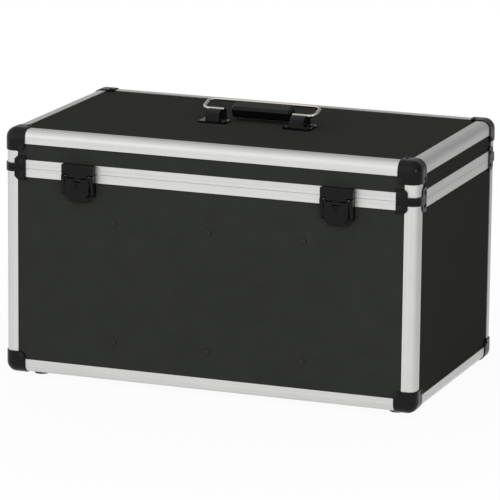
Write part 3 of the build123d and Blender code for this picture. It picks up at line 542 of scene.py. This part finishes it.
class FLIGHTCASE_OT_latches(bpy.types.Operator):
    """Finishes the two key latches, their rivets and their pins"""

    bl_idname = "flightcase.latches"
    bl_label = "Latches"

    def execute(self, context):
        colours = context.scene.flight_case_finishes
        sizes = context.scene.flight_case_sizes
        rivets = ("latch_base_rivets", "latch_catch_rivets")
        lacquer = moulded("latch_lacquer", colours.fitting, roughness=0.3, peel=0.01 * MM, gloss=0.13)
        ease_edges(lacquer, sizes.plastic_ease, *named("latch_", without=rivets))
        keep(lacquer, *rivets, "lock_core_left", "lock_core_right")
        steel = plated("latch_pin_steel", colours.steel, roughness=0.32)
        keep(steel, "hook_pin_left", "hook_pin_right", "lever_pins")
        return {"FINISHED"}


class FLIGHTCASE_OT_hinges(bpy.types.Operator):
    """Finishes the hinges at the back"""

    bl_idname = "flightcase.hinges"
    bl_label = "Hinges"

    def execute(self, context):
        colours = context.scene.flight_case_finishes
        sizes = context.scene.flight_case_sizes
        lacquer = moulded("hinge_lacquer", colours.fitting, roughness=0.38, peel=0.01 * MM, gloss=0.3)
        ease_edges(lacquer, sizes.metal_ease, "hinge_body_leaves", "hinge_lid_leaves")
        keep(lacquer, "hinge_body_rivets", "hinge_lid_rivets")
        keep(plated("hinge_pin_steel", colours.steel, roughness=0.32), "hinge_pins")
        return {"FINISHED"}


class FLIGHTCASE_OT_handle(bpy.types.Operator):
    """Finishes the bail, its grip, the brackets and their screws"""

    bl_idname = "flightcase.handle"
    bl_label = "Handle"

    def execute(self, context):
        colours = context.scene.flight_case_finishes
        sizes = context.scene.flight_case_sizes
        brackets = moulded("bracket_moulding", colours.grip, roughness=0.18, peel=0.02 * MM, gloss=0.13)
        ease_edges(brackets, sizes.plastic_ease, "handle_bracket_left", "handle_bracket_right")
        grip = moulded("grip_moulding", colours.grip, roughness=0.24, peel=0.03 * MM, gloss=0.17)
        keep(grip, "handle_grip")
        keep(plated("bail_nickel", colours.wire, roughness=0.14), "handle_bail")
        oxide = moulded("screw_oxide", colours.fitting, roughness=0.18, peel=0.005 * MM, gloss=0.5)
        keep(oxide, "handle_screws")
        return {"FINISHED"}


class FLIGHTCASE_OT_dividers(bpy.types.Operator):
    """Finishes the plywood dividers and the screws that hold them"""

    bl_idname = "flightcase.dividers"
    bl_label = "Dividers"

    def execute(self, context):
        colours = context.scene.flight_case_finishes
        keep(plywood("divider_plywood", colours.wood), "divider_left", "divider_middle", "divider_right")
        oxide = moulded("divider_screw_oxide", colours.fitting, roughness=0.12, peel=0.005 * MM, gloss=0.45)
        keep(oxide, "divider_screws")
        return {"FINISHED"}


class FLIGHTCASE_OT_pads(bpy.types.Operator):
    """Makes the foam pads on the floor and under the lid"""

    bl_idname = "flightcase.pads"
    bl_label = "Foam Pads"

    def execute(self, context):
        colours = context.scene.flight_case_finishes
        sizes = context.scene.flight_case_sizes
        material = open_foam("pad_foam", colours.foam)
        for index, node in enumerate(named("floor_pad", "lid_pad")):
            low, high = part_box(node)
            pad = self.slab(low, high, sizes)
            self.crown(pad, low, high, 1.0 if node.startswith("floor") else -1.0, index, sizes)
            modify(pad, "SUBSURF", levels=1, render_levels=1)
            bpy.ops.object.shade_smooth()
            stand_in(pad, node, material)
        return {"FINISHED"}

    def slab(self, low, high, sizes):
        """Cuts a flat slab with rounded edges, on a grid of points."""
        span = high - low
        across, along = (round(length / sizes.pad_cell) for length in span.xy)
        bpy.ops.object.select_all(action="DESELECT")
        bpy.ops.mesh.primitive_grid_add(x_subdivisions=across, y_subdivisions=along, size=1.0,
                                        location=((low.x + high.x) / 2, (low.y + high.y) / 2, low.z))
        pad = bpy.context.object
        pad.scale = (span.x, span.y, 1.0)
        bpy.ops.object.transform_apply(location=True, rotation=True, scale=True)
        modify(pad, "SOLIDIFY", thickness=span.z, offset=1.0)
        modify(pad, "BEVEL", width=sizes.pad_round, segments=3, limit_method="ANGLE")
        return pad

    def crown(self, pad, low, high, up, index, sizes):
        """Lets the free face sink towards its edges, draws the sides in and makes both a little uneven."""
        middle, half = (low + high) / 2, (high - low) / 2
        for vertex in pad.data.vertices:
            place = vertex.co.copy()
            u, v, w = ((place[axis] - middle[axis]) / half[axis] for axis in range(3))
            swell = (1.0 - u ** FACE_FALL) * (1.0 - v ** FACE_FALL)
            free = max(0.0, w * up)
            lumps = noise.noise(Vector((place.x * FACE_WAVES, place.y * FACE_WAVES, NEXT_PAD * index)))
            fall = sizes.pad_sink * (1.0 - swell) + sizes.pad_lump * (0.5 + 0.5 * lumps)
            vertex.co.z -= up * free * fall
            pull = sizes.pad_pull * (1.0 - w * w) * (0.6 + 0.4 * noise.noise(place * SIDE_WAVES))
            vertex.co.x -= pull * u ** SIDE_PULL
            vertex.co.y -= pull * v ** SIDE_PULL


class FLIGHTCASE_OT_feet(bpy.types.Operator):
    """Finishes the rubber feet and their screws"""

    bl_idname = "flightcase.feet"
    bl_label = "Feet"

    def execute(self, context):
        colours = context.scene.flight_case_finishes
        keep(rubber("foot_rubber", colours.rubber), "feet")
        oxide = moulded("foot_screw_oxide", colours.fitting, roughness=0.34, peel=0.01 * MM, gloss=0.3)
        keep(oxide, "foot_screws")
        return {"FINISHED"}


class FLIGHTCASE_OT_stage(bpy.types.Operator):
    """Adds the floor, the soft light and the camera at the photograph's angle"""

    bl_idname = "flightcase.stage"
    bl_label = "Set the Stage"

    def execute(self, context):
        stage = context.scene.flight_case_stage
        self.add_camera(context, stage)
        self.add_softbox("key_softbox", stage.key_power, size=4.5, place=(-1.1, -2.5, 0.9))
        self.add_softbox("fill_softbox", stage.fill_power, size=0.9, place=(2.3, -1.7, 0.9))
        self.add_floor(stage)
        self.add_world(context, stage)
        context.scene.view_settings.view_transform = "Standard"
        return {"FINISHED"}

    def add_camera(self, context, stage):
        """Places the camera where it sees the case as the photograph does."""
        back = Vector((math.sin(stage.azimuth) * math.cos(stage.elevation),
                       -math.cos(stage.azimuth) * math.cos(stage.elevation), math.sin(stage.elevation)))
        level = Vector((math.cos(stage.azimuth), math.sin(stage.azimuth), 0.0))
        upright = back.cross(level)
        right = level * math.cos(stage.roll) + upright * math.sin(stage.roll)
        up = upright * math.cos(stage.roll) - level * math.sin(stage.roll)
        turn = Matrix((right, up, back)).transposed().to_4x4()
        aim = Vector((0.0, 0.0, stage.aim_height))
        bpy.ops.object.camera_add()
        camera = context.object
        camera.name = "photo_camera"
        camera.matrix_world = Matrix.Translation(aim + back * stage.distance) @ turn
        camera.data.sensor_width = SENSOR
        camera.data.lens = stage.focal_pixels / PHOTO_PIXELS * SENSOR
        camera.data.shift_x, camera.data.shift_y = (pixels / PHOTO_PIXELS for pixels in FRAME_SHIFT)
        camera.data.clip_start, camera.data.clip_end = CAMERA_REACH
        context.scene.camera = camera

    def add_softbox(self, name, power, size, place):
        """Adds a square lamp that faces the case."""
        bpy.ops.object.light_add(type="AREA", location=place)
        lamp = bpy.context.object
        lamp.name = name
        lamp.data.shape = "SQUARE"
        lamp.data.size = size
        lamp.data.energy = power
        lamp.rotation_mode = "QUATERNION"
        lamp.rotation_quaternion = (Vector(place) - LAMP_AIM).to_track_quat("Z", "Y")

    def add_floor(self, stage):
        """Lays white paper that keeps the shadow near the case and glows white in the metal, with painted
        shade in that glow towards the shade side.
        """
        bpy.ops.mesh.primitive_plane_add(size=FLOOR_SIZE)
        floor = bpy.context.object
        floor.name = "floor"
        paper = Surface("studio_paper", Base_Color=PAPER, Roughness=0.9, Specular_IOR_Level=0.2)
        sight, mirrored = paper.light_paths()
        distance = paper.node("ShaderNodeVectorMath", {"operation": "LENGTH"}, {0: paper.place}, "Value")
        seen = sight * paper.spread(distance, (0.25, 0.9), (0.95, 1.0))
        # Painted shade in the reflection: the glow that gloss sees on the paper is dimmed towards the shade
        # side.
        heading = paper.toward(paper.place, SHADE_SIDE)
        reflected = mirrored * paper.spread(heading, (-0.2, 1.0), (1.0, stage.shade_level))
        grain = paper.noise(waves=300.0, detail=2.0)
        paper.relief(grain, depth=0.05 * MM, strength=0.3)
        lit = Field(paper, paper.shader.outputs[0])
        glow = paper.node("ShaderNodeEmission", sockets={"Color": WHITE, "Strength": 1.0})
        surface = paper.node("ShaderNodeMixShader", sockets={0: seen + reflected, 1: lit, 2: glow})
        paper.fill(paper.tree.nodes["Material Output"].inputs["Surface"], surface)
        floor.data.materials.append(paper.material)

    def add_world(self, context, stage):
        """Surrounds the case with white for the camera and for gloss, dimmed towards the shade side."""
        world = bpy.data.worlds.new("studio_world")
        world.use_nodes = True
        context.scene.world = world
        sky = Finish(world.node_tree)
        sight, mirrored = sky.light_paths()
        heading = sky.toward(sky.node("ShaderNodeTexCoord", output="Generated"), SHADE_SIDE)
        shade_side = sky.spread(heading, (-0.25, 0.8), (1.0, stage.shade_level))
        soft = shade_side * stage.world_level
        around = shade_side * (mirrored * (1.0 - soft) + soft)
        background = world.node_tree.nodes["Background"]
        background.inputs["Color"].default_value = WHITE
        sky.fill(background.inputs["Strength"], around.math("MAXIMUM", around, sight))


OPERATORS = (FLIGHTCASE_OT_boards, FLIGHTCASE_OT_extrusions, FLIGHTCASE_OT_corners, FLIGHTCASE_OT_latches,
             FLIGHTCASE_OT_hinges, FLIGHTCASE_OT_handle, FLIGHTCASE_OT_dividers, FLIGHTCASE_OT_pads,
             FLIGHTCASE_OT_feet, FLIGHTCASE_OT_stage)
GROUPS = {"flight_case_finishes": FlightCaseFinishes, "flight_case_sizes": FlightCaseSizes,
          "flight_case_stage": FlightCaseStage}


class FLIGHTCASE_PT_panel(bpy.types.Panel):
    """The case's operators and settings"""

    bl_label = "Flight Case"
    bl_idname = "FLIGHTCASE_PT_panel"
    bl_space_type = "VIEW_3D"
    bl_region_type = "UI"
    bl_category = "Flight Case"

    def draw(self, context):
        for operator in OPERATORS:
            self.layout.operator(operator.bl_idname)
        for group in (getattr(context.scene, name) for name in GROUPS):
            box = self.layout.box()
            for name in group.bl_rna.properties.keys():
                if name not in ("rna_type", "name"):
                    box.prop(group, name)


CLASSES = (*GROUPS.values(), *OPERATORS, FLIGHTCASE_PT_panel)


def register():
    for each in CLASSES:
        bpy.utils.register_class(each)
    for name, group in GROUPS.items():
        setattr(bpy.types.Scene, name, PointerProperty(type=group))


def unregister():
    for name in GROUPS:
        delattr(bpy.types.Scene, name)
    for each in reversed(CLASSES):
        bpy.utils.unregister_class(each)


def main():
    register()
    for operator in OPERATORS:
        getattr(bpy.ops.flightcase, operator.bl_idname.split(".")[1])()


if __name__ == "__main__":
    main()
